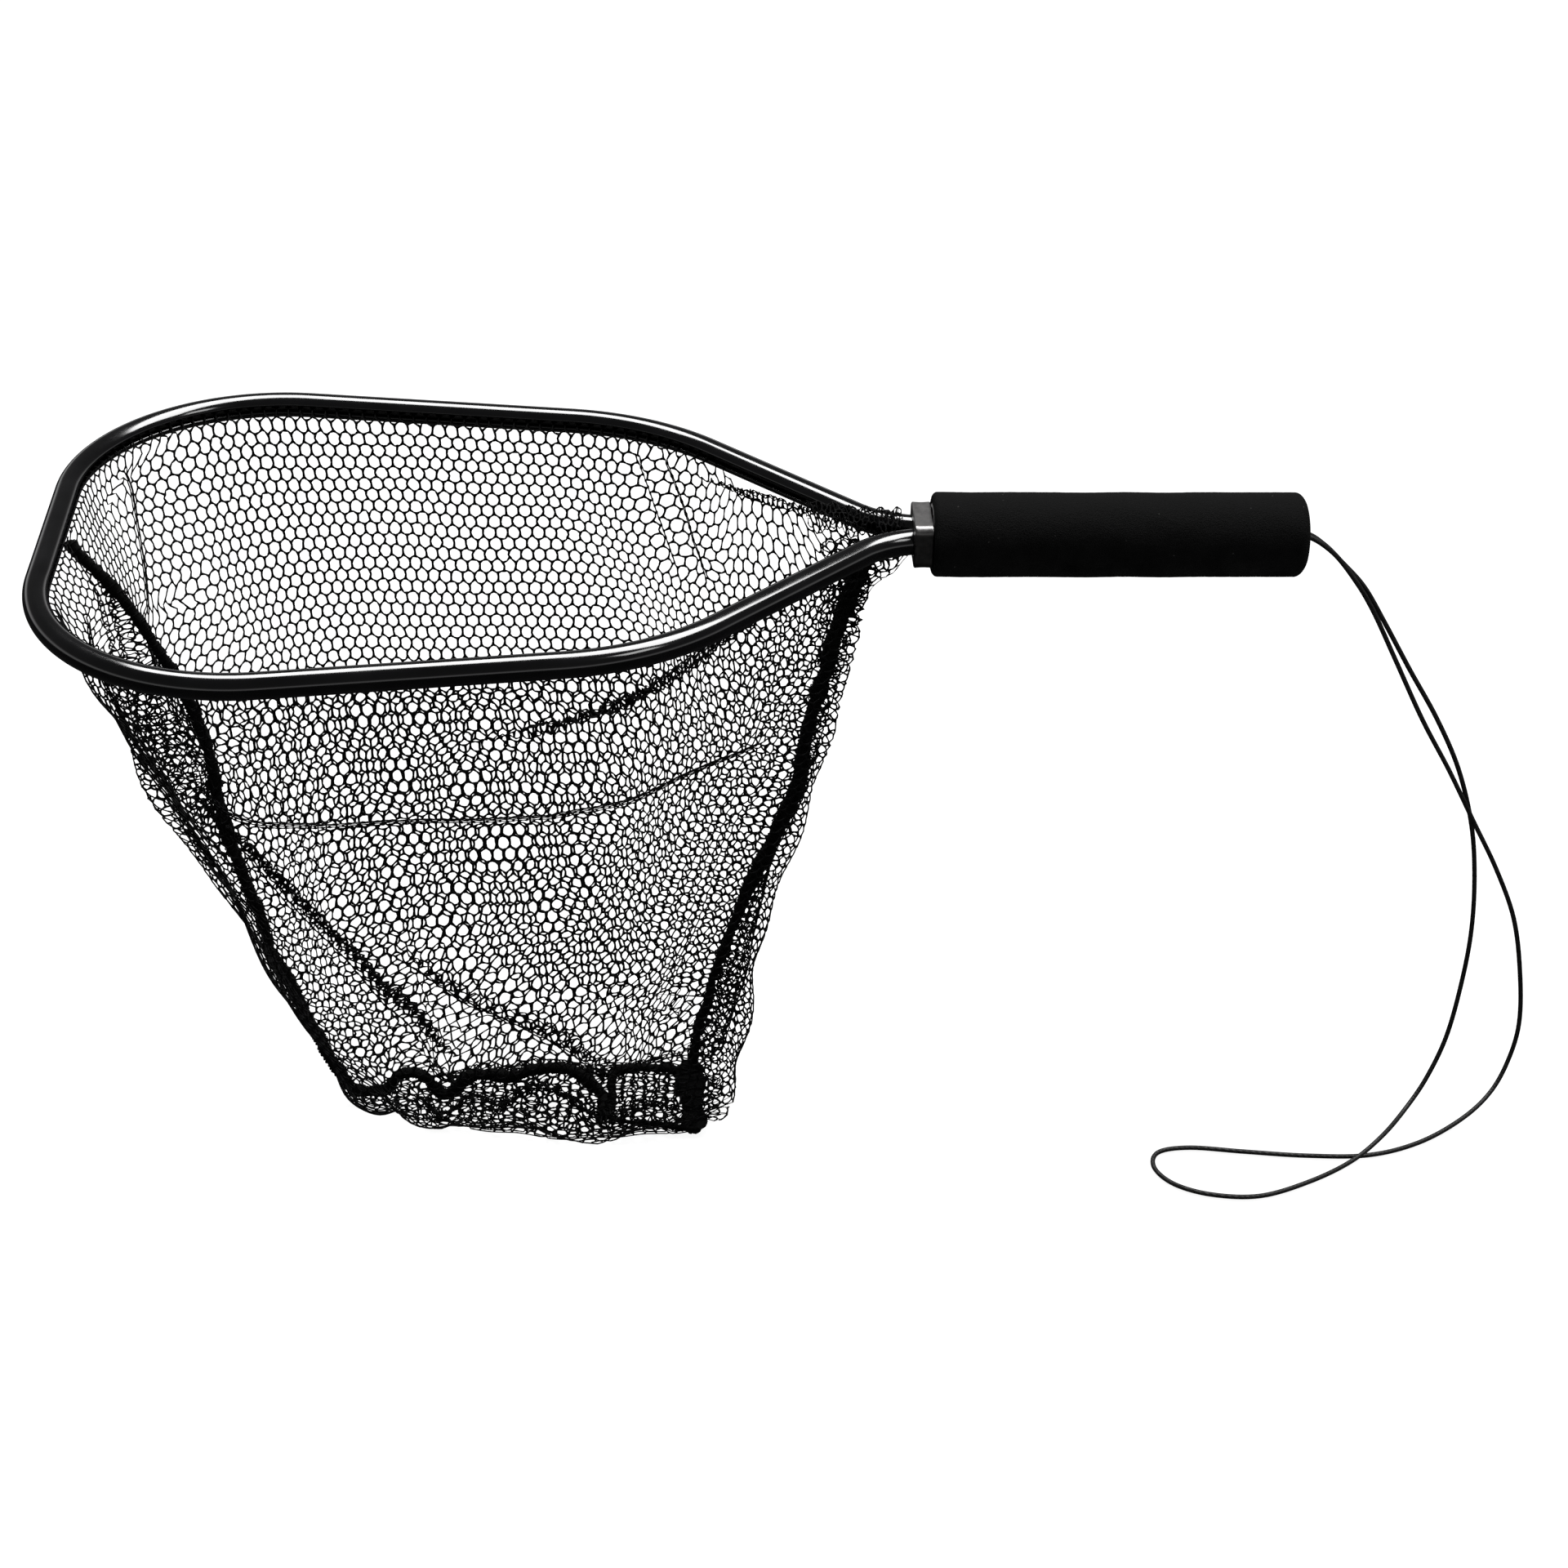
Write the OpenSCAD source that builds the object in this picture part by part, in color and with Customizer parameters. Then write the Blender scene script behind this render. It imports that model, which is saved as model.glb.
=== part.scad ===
// Wading landing net: a teardrop hoop of slotted tube, a two-panel mesh bag, a foam grip and
// an elastic lanyard.
// X runs along the handle towards its butt, Z is up and the hoop lies in the plane Z = 0.
// The origin is the middle of the foam grip, on the handle's axis. All sizes are millimetres.

/* [Hoop] */
// Outside diameter of the hoop's tube
tube_d = 10; // [9:0.5:11]
// Wall thickness of the hoop's tube
tube_wall = 1.2; // [0.8:0.1:1.6]
// Width of the slot along the inner side of the tube
slot_w = 2.4; // [2:0.2:3]
// Length of the hoop, from the tip bar to the point where the legs would meet the handle
hoop_l = 318; // [300:2:340]
// Width of the hoop at the tip, between tube centres
tip_w = 250; // [236:2:264]
// Width of the hoop at the shoulders, between tube centres
shoulder_w = 190; // [180:2:200]
// Distance from the tip bar to the shoulders
shoulder_l = 228; // [220:2:236]
// Bend radius of the tip corners
tip_r = 78; // [70:1:84]
// Bend radius of the shoulders
shoulder_r = 98; // [90:1:104]
// Bend radius where the legs turn into the handle
neck_r = 36; // [30:1:40]

/* [Handle] */
// Diameter of the foam grip
grip_d = 32.75; // [31:0.25:36]
// Length of the foam grip
grip_l = 145; // [130:1:160]
// Rounding of the grip's butt edge
butt_r = 5; // [3:0.5:6]
// Rounding of the grip's front edge
front_r = 2; // [1:0.5:3]
// Outside diameter of the handle tube under the foam
core_d = 24; // [23.5:0.25:25]
// Wall thickness of the handle tube
core_wall = 1.3; // [1:0.05:1.3]
// Width of the neck collar, across both tubes
collar_w = 25; // [25:0.5:28]
// Height of the neck collar
collar_h = 18; // [16:0.5:20]
// Thickness of the neck collar along the handle
collar_t = 7.5; // [6:0.5:9]

/* [Bag] */
// Depth of the bag below the hoop
bag_depth = 274; // [262:1:276]
// Thickness of each mesh panel
net_t = 1.4; // [1:0.1:1.6]
// Width of the binding sewn over the seams
binding_w = 5; // [4:0.5:6]

/* [Lanyard] */
// Diameter of the elastic cord
cord_d = 2; // [1.6:0.1:2.2]

/* [Hidden] */
$fn = 64;
gap = 0.1;

// Handle stations along X
front_x = -grip_l / 2;
butt_x = grip_l / 2;
collar_x = front_x - collar_t;
tail_x = front_x + 50;
foam_end = 8;
core_end_x = butt_x - foam_end - 4;
plug_x = butt_x - foam_end - 14.5;
core_bore = core_d - 2 * core_wall;
cord_hole = 5;

// Hoop stations
tip_x = collar_x - 10 - hoop_l;
neck_y = tube_d / 2 + 0.6;
pin_d = 3.2;
pin_l = 19;
pin_x = [front_x + 18, front_x + 38];

// ---- Hoop path: corners of one half, from the middle of the tip bar to the end of a tail ----

corner = [[tip_x, 0], [tip_x, tip_w / 2], [tip_x + shoulder_l, shoulder_w / 2],
          [tip_x + hoop_l, neck_y], [tail_x, neck_y]];
radius = [0, tip_r, shoulder_r, neck_r, 0];

function unit(v) = v / norm(v);
function left_of(v) = [-v.y, v.x];
function heading_in(i) = unit(corner[i] - corner[i - 1]);
function heading_out(i) = unit(corner[i + 1] - corner[i]);
function bend_angle(i) = let (a = heading_in(i), b = heading_out(i))
    atan2(a.x * b.y - a.y * b.x, a * b);
function bend_cut(i) = radius[i] * tan(abs(bend_angle(i)) / 2);
function bend_start(i) = corner[i] - heading_in(i) * bend_cut(i);
function bend_end(i) = corner[i] + heading_out(i) * bend_cut(i);
function bend_centre(i) = bend_start(i) + left_of(heading_in(i)) * radius[i] * sign(bend_angle(i));

// Points round a bend, one ring of the swept tubes at each.
bend_steps = [0, 16, 9, 7];
function bend_points(i) = let (c = bend_centre(i), s = bend_start(i) - c, a = atan2(s.y, s.x))
    [for (k = [0:bend_steps[i]]) let (turn = a + bend_angle(i) * k / bend_steps[i])
        c + radius[i] * [cos(turn), sin(turn)]];

hoop_half = concat([corner[0]], bend_points(1), bend_points(2), bend_points(3));
function whole(half) = concat([for (i = [len(half) - 1:-1:1]) [half[i].x, -half[i].y]], half);

// Two triangles for each cell between the rings i and i + 1 of a skin with n points a ring.
function band(i, n) = [for (k = [0:n - 1]) let (a = i * n + k, b = i * n + (k + 1) % n)
    each [[a, a + n, b + n], [a, b + n, b]]];
function skin(rings, n) = concat([[for (k = [0:n - 1]) k]],
    [for (i = [0:rings - 2]) each band(i, n)],
    [[for (k = [n - 1:-1:0]) (rings - 1) * n + k]]);

// Sweeps a section along a flat path; the section's +x is the outside of the hoop.
module sweep_flat(path, section) {
    last = len(path) - 1;
    points = [for (i = [0:last])
        let (side = left_of(unit(path[min(i + 1, last)] - path[max(i - 1, 0)])))
        for (q = section) [path[i].x + side.x * q.x, path[i].y + side.y * q.x, q.y]];
    polyhedron(points, skin(len(path), len(section)), convexity = 8);
}

// ---- Hoop ----

// The tube's section, a ring that is open at the slot on its inner side.
function arc(r, n) = let (a = asin(slot_w / 2 / r))
    [for (k = [0:n]) let (t = 180 + a + (360 - 2 * a) * k / n) [r * cos(t), r * sin(t)]];
function reversed(p) = [for (i = [len(p) - 1:-1:0]) p[i]];
tube_section = concat(arc(tube_d / 2, 22), reversed(arc(tube_d / 2 - tube_wall, 16)));

module hoop_tube() {
    color("#26282b") difference() {
        sweep_flat(whole(concat(hoop_half, [corner[4]])), tube_section);
        tail_holes(pin_d + 2 * gap);
    }
}

// The cord in the bag's hem, which keeps the hem inside the slotted tube.
module bolt_rope() {
    rope_d = 4.4;
    round_section = [for (k = [0:9]) rope_d / 2 * [cos(36 * k), sin(36 * k)]];
    leg_end = concat([corner[0]], bend_points(1), bend_points(2), [bend_start(3)]);
    color("#17181a") sweep_flat(whole(leg_end), round_section);
}

// ---- Bag ----

// Running lengths along a list of points, for lookup().
function running(p) = [for (i = 0, s = 0; i < len(p);
    s = s + (i + 1 < len(p) ? norm(p[i + 1] - p[i]) : 0), i = i + 1) s];
function table(s, p, axis) = [for (i = [0:len(p) - 1]) [s[i], p[i][axis]]];

path_s = running(hoop_half);
path_x = table(path_s, hoop_half, 0);
path_y = table(path_s, hoop_half, 1);
function path_at(s) = [lookup(s, path_x), lookup(s, path_y)];
function path_inward(s) = -left_of(unit(path_at(s + 2) - path_at(s - 2)));

// The rim starts beside the tip seam and ends where the two legs close on each other.
rim_start = binding_w / 2 + 2;
rim_end = path_s[len(path_s) - 1] - 15;
function rim_s(u) = rim_start + (rim_end - rim_start) * u;
function rim(u, inset) = let (p = path_at(rim_s(u)) + inset * path_inward(rim_s(u)))
    [p.x, max(p.y, binding_w / 2 + 0.3), -net_t / 2];

// The seam, seen from the side: down from the tip, along the bottom and up to the neck.
tip_seam = [[-401, -6], [-377, -38], [-362, -90], [-354, -142], [-334, -206], [-306, -268]];
bottom_seam = [[-306, -268], [-270, -262], [-235, -264], [-200, -261], [-162, -268]];
neck_seam = [[-162, -268], [-157, -228], [-143, -174], [-125, -125], [-115, -75], [-102, -22],
             [-97, -7]];
seam = concat(tip_seam, [for (i = [1:4]) bottom_seam[i]], [for (i = [1:6]) neck_seam[i]]);
seam_s = running(seam);
seam_x = table(seam_s, seam, 0);
seam_z = table(seam_s, seam, 1);

// How the panel's columns are shared out between the three seams.
tip_share = 0.31;
neck_share = 0.66;
seam_of = [[0, 0], [tip_share, seam_s[5]], [neck_share, seam_s[9]], [1, seam_s[15]]];
function seam_at(u) = let (s = lookup(u, seam_of))
    [lookup(s, seam_x), binding_w / 2 + gap, lookup(s, seam_z)];

// Slack of the panel along the hoop: how far its belly leaves the straight line, by axis.
belly_x = [[0, 0.5], [0.31, 0.55], [0.5, 0.4], [0.66, -0.1], [0.8, -0.6], [1, -0.3]];
belly_y = [[0, 0.45], [0.2, 0.45], [0.31, 0.55], [0.5, 0.75], [0.8, 0.75], [1, 0.8]];
belly_z = [[0, 0.6], [0.2, 0.8], [0.31, 1], [0.5, 1.15], [0.66, 1.17], [0.8, 1.05], [1, 0.9]];
function belly(u) = let (a = rim(u, 6.5), b = seam_at(u), k = lookup(u, belly_x))
    [a.x * (1 - k) + b.x * k, a.y * lookup(u, belly_y), b.z * lookup(u, belly_z)];

// A panel's outer face: two rows in the slot, then a curve from the rim by the belly to the seam.
columns = 44;
rows = 14;
function net_point(u, j) = j == 0 ? rim(u, 2.5) : let (v = (j - 1) / rows,
    p = (1 - v) * (1 - v) * rim(u, 6.5) + 2 * v * (1 - v) * belly(u) + v * v * seam_at(u))
    [p.x, p.y, max(p.z, -bag_depth)];

// The panel leaves out its first and last column, which are shorter than its own thickness.
spans = columns - 2;
stride = rows + 2;
function cell(i, j) = i * stride + j;
net_outer = [for (i = [1:columns - 1]) for (j = [0:rows + 1]) net_point(i / columns, j)];

// The inner face, one thickness in from the outer one along its normal.
function outer_at(i, j) = net_outer[cell(min(max(i, 0), spans), min(max(j, 0), rows + 1))];
function net_inside(i, j) = outer_at(i, j) + net_t * unit(cross(
    outer_at(i, j + 1) - outer_at(i, j - 1), outer_at(i + 1, j) - outer_at(i - 1, j)));
net_points = concat(net_outer, [for (i = [0:spans]) for (j = [0:rows + 1]) net_inside(i, j)]);
inner = len(net_outer);

// Two triangles for a four-sided face.
function halves(a, b, c, d) = [[a, b, c], [a, c, d]];
net_faces = concat(
    [for (i = [0:spans - 1], j = [0:rows])
        each halves(cell(i, j), cell(i, j + 1), cell(i + 1, j + 1), cell(i + 1, j))],
    [for (i = [0:spans - 1], j = [0:rows]) each halves(inner + cell(i + 1, j),
        inner + cell(i + 1, j + 1), inner + cell(i, j + 1), inner + cell(i, j))],
    [for (i = [0:spans - 1]) each halves(cell(i + 1, 0), inner + cell(i + 1, 0),
        inner + cell(i, 0), cell(i, 0))],
    [for (i = [0:spans - 1]) each halves(cell(i, rows + 1), inner + cell(i, rows + 1),
        inner + cell(i + 1, rows + 1), cell(i + 1, rows + 1))],
    [for (j = [0:rows])
        each halves(cell(0, j), inner + cell(0, j), inner + cell(0, j + 1), cell(0, j + 1))],
    [for (j = [0:rows]) each halves(cell(spans, j + 1), inner + cell(spans, j + 1),
        inner + cell(spans, j), cell(spans, j))]);

module far_net_panel() {
    color("#1d1e21") polyhedron(net_points, net_faces, convexity = 8);
}

module near_net_panel() {
    mirror([0, 1, 0]) far_net_panel();
}

// ---- Swept tubes, for the bindings and the lanyard ----

function spline(a, b, c, d, t) = 0.5 * (2 * b + (c - a) * t + (2 * a - 5 * b + 4 * c - d) * t * t
    + (3 * b - a - 3 * c + d) * t * t * t);
function smooth(p, n) = let (last = len(p) - 1)
    concat([for (i = [0:last - 1]) for (k = [0:n - 1])
        spline(p[max(i - 1, 0)], p[i], p[i + 1], p[min(i + 2, last)], k / n)], [p[last]]);
function tangent(p, i) = unit(p[min(i + 1, len(p) - 1)] - p[max(i - 1, 0)]);

// Carries a side direction along a path without twist.
function no_twist(p, side, i = 0) = i == len(p) ? [] :
    let (t = tangent(p, i), s = unit(side - (side * t) * t)) concat([s], no_twist(p, s, i + 1));

// Sweeps an oval of 8 sides along a path; w is its size along the side direction.
module sweep(p, w, h, side) {
    sides = no_twist(p, side);
    n = 8;
    points = [for (i = [0:len(p) - 1]) let (s = sides[i], c = cross(tangent(p, i), s))
        for (k = [0:n - 1]) p[i] + s * cos(45 * k) * w / 2 + c * sin(45 * k) * h / 2];
    polyhedron(points, skin(len(p), n), convexity = 6);
}

binding_h = 3;
function from_side(p) = [for (q = p) [q.x, 0, q.y]];

module tip_seam_binding() {
    color("#101113") sweep(smooth(from_side(tip_seam), 4), binding_w, binding_h, [0, 1, 0]);
}

module bottom_seam_binding() {
    run = [[-300, -267], [-270, -262], [-235, -264], [-200, -261], [-169, -266]];
    color("#101113") sweep(smooth(from_side(run), 4), binding_w, binding_h, [0, 1, 0]);
}

module neck_seam_binding() {
    color("#101113") sweep(smooth(from_side(neck_seam), 4), binding_w, binding_h, [0, 1, 0]);
}

// ---- Handle ----

// Turns a profile of radius and station about the handle's axis.
module around_handle() {
    rotate([0, 90, 0]) rotate_extrude() children();
}

module tail_holes(d) {
    for (i = [0, 1])
        translate([pin_x[i], (i == 0 ? 1 : -1) * neck_y, 0]) cylinder(d = d, h = 40, center = true);
}

// A block with rounded edges, and one window that takes both tubes.
module neck_collar() {
    edge = 3;
    window = tube_d + 0.4;
    spread = neck_y + 0.5;
    color("#3a3c3f") translate([collar_x, 0, 0]) rotate([90, 0, 90]) linear_extrude(collar_t)
        difference() {
            union() {
                square([collar_w - 2 * edge, collar_h], center = true);
                square([collar_w, collar_h - 2 * edge], center = true);
                for (x = [-1, 1], y = [-1, 1])
                    translate([x * (collar_w / 2 - edge), y * (collar_h / 2 - edge)]) circle(edge);
            }
            square([2 * spread, window], center = true);
            for (x = [-1, 1]) translate([x * spread, 0]) circle(d = window);
        }
}

module handle_tube() {
    color("silver") difference() {
        around_handle() translate([core_bore / 2, front_x])
            square([core_wall, core_end_x - front_x]);
        tail_holes(pin_d + 2 * gap);
    }
}

// Fills the handle tube above and below the two tails and holds them apart.
module tail_spacer() {
    color("#6b6e72") difference() {
        translate([front_x + 8, 0, 0]) rotate([0, 90, 0])
            cylinder(d = core_bore - 2 * gap, h = 38);
        for (y = [-1, 1]) translate([front_x, y * neck_y, 0]) rotate([0, 90, 0])
            cylinder(d = tube_d + gap, h = 60);
        tail_holes(pin_d + 2 * gap);
    }
}

module tail_pins() {
    color("lightgray") for (i = [0, 1])
        translate([pin_x[i], (i == 0 ? 1 : -1) * neck_y, 0])
            cylinder(d = pin_d, h = pin_l, center = true);
}

module foam_grip() {
    r = grip_d / 2;
    color("#1b1c1e") around_handle() difference() {
        union() {
            translate([0, front_x + front_r]) square([r, grip_l - front_r - butt_r]);
            translate([0, front_x]) square([r - front_r, front_r]);
            translate([r - front_r, front_x + front_r]) circle(front_r);
            translate([0, butt_x - butt_r]) square([r - butt_r, butt_r]);
            translate([r - butt_r, butt_x - butt_r]) circle(butt_r);
        }
        translate([-1, front_x - 1]) square([core_d / 2 + 1, grip_l - foam_end + 1]);
        translate([-1, front_x]) square([cord_hole / 2 + 1, grip_l + 1]);
    }
}

module butt_plug() {
    color("#2b2d30") around_handle() {
        translate([cord_hole / 2, plug_x])
            square([core_bore / 2 - gap - cord_hole / 2, core_end_x - plug_x]);
        translate([cord_hole / 2, core_end_x])
            square([core_d / 2 - gap - cord_hole / 2, butt_x - foam_end - core_end_x]);
    }
}

// ---- Lanyard ----

module lanyard_knot() {
    knot_r = 4.2;
    color("#141416") translate([plug_x, 0, 0]) around_handle() intersection() {
        translate([0, -knot_r]) circle(knot_r);
        translate([0, -2 * knot_r]) square([knot_r, 2 * knot_r - 1]);
    }
}

strand_y = 1.2;
floor_z = -274;
// From the knot, out of the butt and down to the floor, round the far end of the loop, and back.
cord_route = [
    [plug_x - 1, strand_y, 0], [62, strand_y, 0], [73, strand_y, 0], [81, 1.4, -5],
    [89, 1.6, -13], [99, 1.8, -24], [109, 2, -40], [122, 2, -62], [136, 2, -85], [148, 2, -109],
    [157, 2, -136], [162, 2, -163], [164, 1, -190], [163, 0, -217], [160, -1, -243],
    [153, -5, -262], [143, -14, -272], [129, -33, -271.5], [114, -46, floor_z],
    [94, -59, floor_z], [72, -68, floor_z], [52, -67, floor_z], [37, -60, floor_z],
    [30, -49, floor_z], [33, -39, floor_z], [47, -36, floor_z], [70, -39, floor_z],
    [96, -42, floor_z], [122, -42, floor_z], [145, -34, floor_z], [166, -20, -273],
    [181, -7, -269], [189, 0, -257], [191, 0, -236], [187, -1, -208], [180, -2, -180],
    [169, -2, -155], [156, -2, -131], [143, -2, -107], [129, -2, -83], [115, -2, -56],
    [103, -1.8, -33], [94, -1.6, -19], [84, -1.4, -7], [73, -strand_y, 0], [62, -strand_y, 0],
    [plug_x - 1, -strand_y, 0]];

module lanyard_cord() {
    color("#0d0d0f") sweep(smooth(cord_route, 2), cord_d, cord_d, [0, 0, 1]);
}

hoop_tube();
bolt_rope();
near_net_panel();
far_net_panel();
tip_seam_binding();
bottom_seam_binding();
neck_seam_binding();
neck_collar();
handle_tube();
tail_spacer();
tail_pins();
foam_grip();
butt_plug();
lanyard_knot();
lanyard_cord();
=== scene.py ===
"""The looks of the wading landing net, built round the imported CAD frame.

Lengths are millimetres in the row frame, X towards the butt and Z up. piece() turns them to metres.
"""

import math

import bmesh
import bpy
import numpy as np
from mathutils import Matrix, Vector


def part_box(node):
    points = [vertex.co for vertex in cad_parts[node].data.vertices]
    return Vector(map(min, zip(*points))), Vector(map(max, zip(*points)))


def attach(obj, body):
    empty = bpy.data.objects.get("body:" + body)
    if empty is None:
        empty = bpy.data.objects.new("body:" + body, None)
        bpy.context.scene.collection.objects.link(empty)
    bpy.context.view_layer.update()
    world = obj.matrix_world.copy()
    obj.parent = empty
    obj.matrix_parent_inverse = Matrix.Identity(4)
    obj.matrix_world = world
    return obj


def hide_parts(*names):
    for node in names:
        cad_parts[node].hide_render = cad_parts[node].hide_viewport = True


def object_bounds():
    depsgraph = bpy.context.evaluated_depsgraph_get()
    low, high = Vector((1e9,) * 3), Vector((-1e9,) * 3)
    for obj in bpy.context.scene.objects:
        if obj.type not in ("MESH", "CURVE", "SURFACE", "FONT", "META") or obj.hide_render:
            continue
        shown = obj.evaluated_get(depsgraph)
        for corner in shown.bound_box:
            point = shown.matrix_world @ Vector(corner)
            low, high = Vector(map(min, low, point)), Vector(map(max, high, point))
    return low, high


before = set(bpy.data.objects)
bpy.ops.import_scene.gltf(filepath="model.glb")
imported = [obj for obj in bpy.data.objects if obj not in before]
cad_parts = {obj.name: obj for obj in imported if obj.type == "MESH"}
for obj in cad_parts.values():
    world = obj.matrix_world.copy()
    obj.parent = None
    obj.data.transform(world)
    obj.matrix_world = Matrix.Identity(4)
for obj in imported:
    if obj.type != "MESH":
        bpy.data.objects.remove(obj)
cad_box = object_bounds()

MM = 0.001
rng = np.random.default_rng(7)
scene = bpy.context.scene


# ---- Camera ----

CAMERA_AT = (-183.1, -1083.7, 574.6)
CAMERA_YAW, CAMERA_PITCH, CAMERA_ROLL = 0.05162, 0.56523, 0.024456
CAMERA_LENS = 73.04


def make_camera():
    """The photograph's view. The frame is square and the picture isn't shifted."""
    data = bpy.data.cameras.new("camera")
    data.lens = CAMERA_LENS
    data.sensor_width = 36
    data.clip_end = 60
    camera = bpy.data.objects.new("camera", data)
    scene.collection.objects.link(camera)
    camera.matrix_world = (
        Matrix.Translation(Vector(CAMERA_AT) * MM)
        @ Matrix.Rotation(-CAMERA_YAW, 4, "Z")
        @ Matrix.Rotation(math.pi / 2 - CAMERA_PITCH, 4, "X")
        @ Matrix.Rotation(CAMERA_ROLL, 4, "Z")
    )
    scene.camera = camera


make_camera()


# ---- Materials ----


class Nodes:
    """A small writer of procedural materials. All textures run on the object's own coordinates.

    Noise and cells take their scale as features a millimetre.
    """

    def __init__(self, name):
        self.mat = bpy.data.materials.new(name)
        self.mat.use_nodes = True
        self.tree = self.mat.node_tree
        self.shader = self.tree.nodes["Principled BSDF"]
        self.coords = self.add("ShaderNodeTexCoord").outputs["Object"]

    def add(self, kind, **settings):
        node = self.tree.nodes.new(kind)
        for key, value in settings.items():
            if hasattr(node, key):
                setattr(node, key, value)
            else:
                self.put(node.inputs[key.replace("_", " ")], value)
        return node

    def put(self, socket, value):
        if isinstance(value, bpy.types.NodeSocket):
            self.tree.links.new(value, socket)
        else:
            socket.default_value = value

    def stretched(self, scale):
        return self.add("ShaderNodeMapping", Vector=self.coords, Scale=scale).outputs[0]

    def noise(self, per_mm, detail=3, rough=0.55, where=None):
        where = where or self.coords
        node = self.add("ShaderNodeTexNoise", Vector=where, Scale=per_mm / MM, Detail=detail)
        node.inputs["Roughness"].default_value = rough
        return node.outputs["Fac"]

    def cells(self, per_mm):
        node = self.add("ShaderNodeTexVoronoi", Vector=self.coords)
        node.inputs["Scale"].default_value = per_mm / MM
        return node.outputs["Distance"]

    def diagonal_wave(self, scale, distortion):
        """Slanted ribs, as twisted or braided yarn has."""
        node = self.add("ShaderNodeTexWave", Vector=self.coords, wave_type="BANDS")
        node.bands_direction = "DIAGONAL"
        node.inputs["Scale"].default_value = scale
        node.inputs["Distortion"].default_value = distortion
        return node.outputs["Fac"]

    def ramp(self, value, low, high, out_low, out_high):
        """A value from low to high mapped to the range out_low to out_high."""
        node = self.add("ShaderNodeMapRange", Value=value)
        for socket, v in zip(list(node.inputs)[1:5], (low, high, out_low, out_high)):
            socket.default_value = v
        return node.outputs[0]

    def tones(self, value, *stops):
        """A colour ramp through (position, colour) stops."""
        node = self.add("ShaderNodeValToRGB", Fac=value)
        ramp = node.color_ramp
        while len(ramp.elements) < len(stops):
            ramp.elements.new(0.5)
        for element, (at, colour) in zip(ramp.elements, stops):
            element.position = at
            element.color = (*colour, 1)
        return node.outputs[0]

    def bump(self, height, depth_mm, strength, under=None):
        node = self.add("ShaderNodeBump", Height=height, Strength=strength, Distance=depth_mm * MM)
        if under:
            self.put(node.inputs["Normal"], under)
        return node.outputs[0]

    def surface(self, **values):
        for key, value in values.items():
            self.put(self.shader.inputs[key.replace("_", " ")], value)
        return self.mat


def grey(v, blue=1.0):
    """A grey, or a cool one with blue above 1."""
    return (v, v, v * blue)


def anodised_tube():
    """Satin black anodising: die lines run along the tube and the gloss is patchy."""
    n = Nodes("anodised_tube")
    patch = n.noise(0.05, 4)
    fine = n.noise(1.4, 5, 0.7)
    return n.surface(
        Base_Color=n.tones(patch, (0.3, grey(0.0008, 1.1)), (0.7, grey(0.0018, 1.15))),
        Roughness=n.ramp(patch, 0.3, 0.7, 0.1, 0.15),
        Normal=n.bump(fine, 0.01, 0.12),
        Specular_IOR_Level=0.6,
    )


def netting():
    """Knitted polyester: the twist of the yarn is a fine slanted rib."""
    n = Nodes("netting")
    twist = n.diagonal_wave(900, 6)
    return n.surface(
        Base_Color=n.tones(n.noise(0.3, 4), (0.3, grey(0.0005)), (0.75, grey(0.0016, 1.1))),
        Roughness=n.ramp(n.noise(1.5, 2), 0.3, 0.7, 0.6, 0.8),
        Normal=n.bump(twist, 0.12, 0.8),
        Specular_IOR_Level=0.05,
    )


def seam_binding():
    """Overlocked edge: dense yarn with a fuzzy, mottled face."""
    n = Nodes("seam_binding")
    yarn = n.noise(1.6, 6, 0.75, n.stretched((1.0, 1.0, 0.45)))
    return n.surface(
        Base_Color=n.tones(n.noise(0.8, 6, 0.7), (0.3, grey(0.0006)), (0.8, grey(0.0022))),
        Roughness=n.ramp(yarn, 0.3, 0.7, 0.7, 0.95),
        Normal=n.bump(yarn, 0.5, 0.9),
        Specular_IOR_Level=0.06,
    )


def collar_metal():
    """Dark nickel plate, brushed round the block, with rubbed edges."""
    n = Nodes("collar_metal")
    brush = n.noise(1.2, 4, 0.6, n.stretched((6.0, 0.6, 0.6)))
    wear = n.noise(0.35, 5, 0.6)
    return n.surface(
        Base_Color=n.tones(wear, (0.3, (0.085, 0.083, 0.083)), (0.75, (0.15, 0.147, 0.145))),
        Roughness=n.ramp(brush, 0.3, 0.7, 0.3, 0.42),
        Normal=n.bump(brush, 0.02, 0.5),
        Metallic=1.0,
    )


def bare_aluminium():
    """Drawn tube: fine lines along X."""
    n = Nodes("bare_aluminium")
    lines = n.noise(1.0, 4, 0.6, n.stretched((0.2, 3.0, 3.0)))
    return n.surface(
        Base_Color=n.tones(lines, (0.3, grey(0.52)), (0.7, grey(0.66))),
        Roughness=n.ramp(lines, 0.3, 0.7, 0.28, 0.42),
        Normal=n.bump(lines, 0.02, 0.5),
        Metallic=1.0,
    )


def moulded_plastic():
    """Dark filler with a fine grain."""
    n = Nodes("moulded_plastic")
    grain = n.noise(2.5, 4, 0.6)
    return n.surface(
        Base_Color=n.tones(n.noise(0.2), (0.3, grey(0.035)), (0.7, grey(0.05))),
        Roughness=n.ramp(grain, 0.3, 0.7, 0.45, 0.6),
        Normal=n.bump(grain, 0.03, 0.6),
    )


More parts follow.
